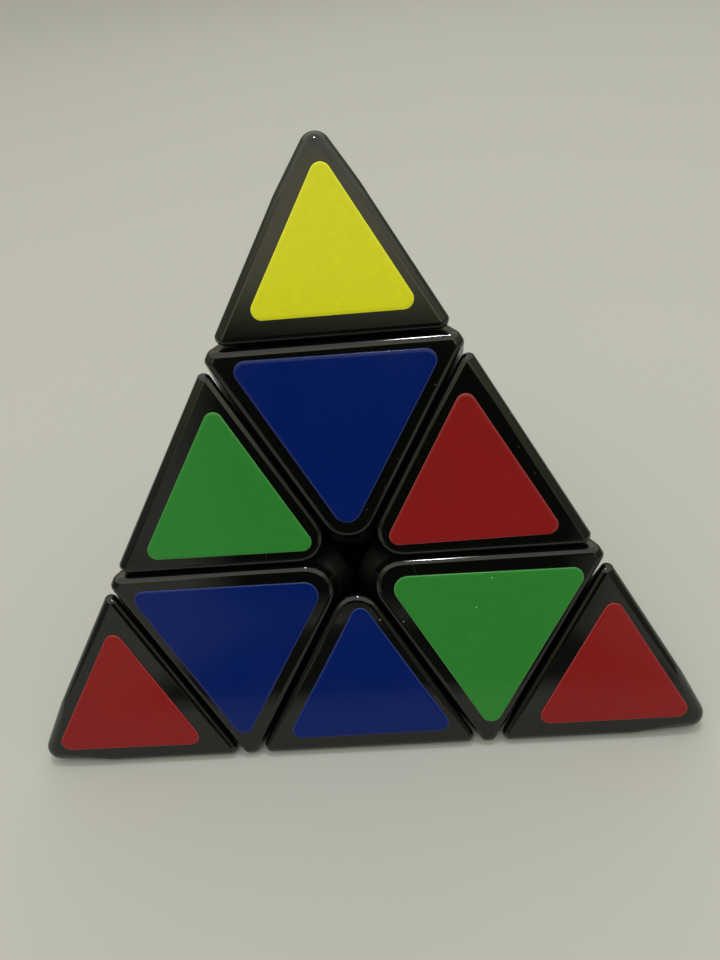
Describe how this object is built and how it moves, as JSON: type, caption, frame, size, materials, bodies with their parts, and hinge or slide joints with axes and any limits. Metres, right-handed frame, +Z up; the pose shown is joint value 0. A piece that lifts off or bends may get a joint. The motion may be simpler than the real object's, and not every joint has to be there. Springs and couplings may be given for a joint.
{
  "type": "pyramid twisty puzzle",
  "caption": "Pyramid-shaped twisty puzzle in black plastic with yellow, red, blue and green stickers; its layers and tips turn about the four corners",
  "frame": {"origin": "centre of the core, where the four turning axes meet", "axes": "+Z up through the top corner, +X along the front bottom edge from the left corner to the right corner, front face towards -Y, back corner towards +Y; it stands on the bottom face"},
  "size_m": [0.098, 0.0857, 0.0809],
  "materials": {
    "black_plastic": "glossy moulded ABS with faint moulding waviness and handling scratches",
    "core_plastic": "satin moulded black plastic",
    "steel": "zinc plated",
    "spring_steel": "drawn wire",
    "sticker_vinyl": "self-adhesive vinyl, satin gloss",
    "sticker_yellow": "self-adhesive vinyl, satin gloss",
    "sticker_red": "self-adhesive vinyl, satin gloss",
    "sticker_blue": "self-adhesive vinyl, satin gloss",
    "sticker_green": "self-adhesive vinyl, satin gloss"
  },
  "bodies": {
    "core": {"core": "core_plastic", "top_screw": "steel", "top_washer": "steel", "top_spring": "spring_steel", "left_screw": "steel", "left_washer": "steel", "left_spring": "spring_steel", "right_screw": "steel", "right_washer": "steel", "right_spring": "spring_steel", "back_screw": "steel", "back_washer": "steel", "back_spring": "spring_steel"},
    "axial_top": {"top_axial_shell": "black_plastic", "top_axial_hub": "black_plastic", "top_axial_stickers": "sticker_vinyl"},
    "tip_top": {"top_tip_cap": "black_plastic", "top_tip_stem": "black_plastic", "top_tip_stickers": "sticker_vinyl"},
    "axial_left": {"left_axial_shell": "black_plastic", "left_axial_hub": "black_plastic", "left_axial_stickers": "sticker_vinyl"},
    "tip_left": {"left_tip_cap": "black_plastic", "left_tip_stem": "black_plastic", "left_tip_stickers": "sticker_vinyl"},
    "axial_right": {"right_axial_shell": "black_plastic", "right_axial_hub": "black_plastic", "right_axial_stickers": "sticker_vinyl"},
    "tip_right": {"right_tip_cap": "black_plastic", "right_tip_stem": "black_plastic", "right_tip_stickers": "sticker_vinyl"},
    "axial_back": {"back_axial_shell": "black_plastic", "back_axial_hub": "black_plastic", "back_axial_stickers": "sticker_vinyl"},
    "tip_back": {"back_tip_cap": "black_plastic", "back_tip_stem": "black_plastic", "back_tip_stickers": "sticker_vinyl"},
    "edge_top_left": {"top_left_edge_shell": "black_plastic", "top_left_edge_foot": "black_plastic", "top_left_edge_stickers": "sticker_vinyl"},
    "edge_top_right": {"top_right_edge_shell": "black_plastic", "top_right_edge_foot": "black_plastic", "top_right_edge_stickers": "sticker_vinyl"},
    "edge_top_back": {"top_back_edge_shell": "black_plastic", "top_back_edge_foot": "black_plastic", "top_back_edge_stickers": "sticker_vinyl"},
    "edge_left_right": {"left_right_edge_shell": "black_plastic", "left_right_edge_foot": "black_plastic", "left_right_edge_stickers": "sticker_vinyl"},
    "edge_right_back": {"right_back_edge_shell": "black_plastic", "right_back_edge_foot": "black_plastic", "right_back_edge_stickers": "sticker_vinyl"},
    "edge_back_left": {"back_left_edge_shell": "black_plastic", "back_left_edge_foot": "black_plastic", "back_left_edge_stickers": "sticker_vinyl"}
  },
  "joints": [
    {"name": "top_layer_turn", "type": "hinge", "parent": "core", "child": "axial_top", "pos_m": [0, 0, 0], "axis": [0, 0, 1], "continuous": true},
    {"name": "left_layer_turn", "type": "hinge", "parent": "core", "child": "axial_left", "pos_m": [0, 0, 0], "axis": [-0.8165, -0.4714, -0.3333], "range_deg": [-360, 360]},
    {"name": "right_layer_turn", "type": "hinge", "parent": "core", "child": "axial_right", "pos_m": [0, 0, 0], "axis": [0.8165, -0.4714, -0.3333], "range_deg": [-360, 360]},
    {"name": "back_layer_turn", "type": "hinge", "parent": "core", "child": "axial_back", "pos_m": [0, 0, 0], "axis": [0, 0.9428, -0.3333], "range_deg": [-360, 360]},
    {"name": "top_tip_turn", "type": "hinge", "parent": "axial_top", "child": "tip_top", "pos_m": [0, 0, 0], "axis": [0, 0, 1], "continuous": true},
    {"name": "left_tip_turn", "type": "hinge", "parent": "axial_left", "child": "tip_left", "pos_m": [0, 0, 0], "axis": [-0.8165, -0.4714, -0.3333], "continuous": true},
    {"name": "right_tip_turn", "type": "hinge", "parent": "axial_right", "child": "tip_right", "pos_m": [0, 0, 0], "axis": [0.8165, -0.4714, -0.3333], "continuous": true},
    {"name": "back_tip_turn", "type": "hinge", "parent": "axial_back", "child": "tip_back", "pos_m": [0, 0, 0], "axis": [0, 0.9428, -0.3333], "continuous": true},
    {"name": "top_left_edge_with_left_layer", "type": "hinge", "parent": "axial_top", "child": "edge_top_left", "pos_m": [0, 0, 0], "axis": [-0.8165, -0.4714, -0.3333], "range_deg": [-360, 360]},
    {"name": "top_right_edge_with_right_layer", "type": "hinge", "parent": "axial_top", "child": "edge_top_right", "pos_m": [0, 0, 0], "axis": [0.8165, -0.4714, -0.3333], "range_deg": [-360, 360]},
    {"name": "top_back_edge_with_back_layer", "type": "hinge", "parent": "axial_top", "child": "edge_top_back", "pos_m": [0, 0, 0], "axis": [0, 0.9428, -0.3333], "range_deg": [-360, 360]},
    {"name": "left_right_edge_with_right_layer", "type": "hinge", "parent": "axial_left", "child": "edge_left_right", "pos_m": [0, 0, 0], "axis": [0.8165, -0.4714, -0.3333], "range_deg": [-360, 360]},
    {"name": "right_back_edge_with_back_layer", "type": "hinge", "parent": "axial_right", "child": "edge_right_back", "pos_m": [0, 0, 0], "axis": [0, 0.9428, -0.3333], "range_deg": [-360, 360]},
    {"name": "back_left_edge_with_left_layer", "type": "hinge", "parent": "axial_back", "child": "edge_back_left", "pos_m": [0, 0, 0], "axis": [-0.8165, -0.4714, -0.3333], "range_deg": [-360, 360]}
  ],
  "couplings": [
    {"joint": "top_left_edge_with_left_layer", "follows": "left_layer_turn", "ratio": 1},
    {"joint": "top_right_edge_with_right_layer", "follows": "right_layer_turn", "ratio": 1},
    {"joint": "top_back_edge_with_back_layer", "follows": "back_layer_turn", "ratio": 1},
    {"joint": "left_right_edge_with_right_layer", "follows": "right_layer_turn", "ratio": 1},
    {"joint": "right_back_edge_with_back_layer", "follows": "back_layer_turn", "ratio": 1},
    {"joint": "back_left_edge_with_left_layer", "follows": "left_layer_turn", "ratio": 1}
  ]
}
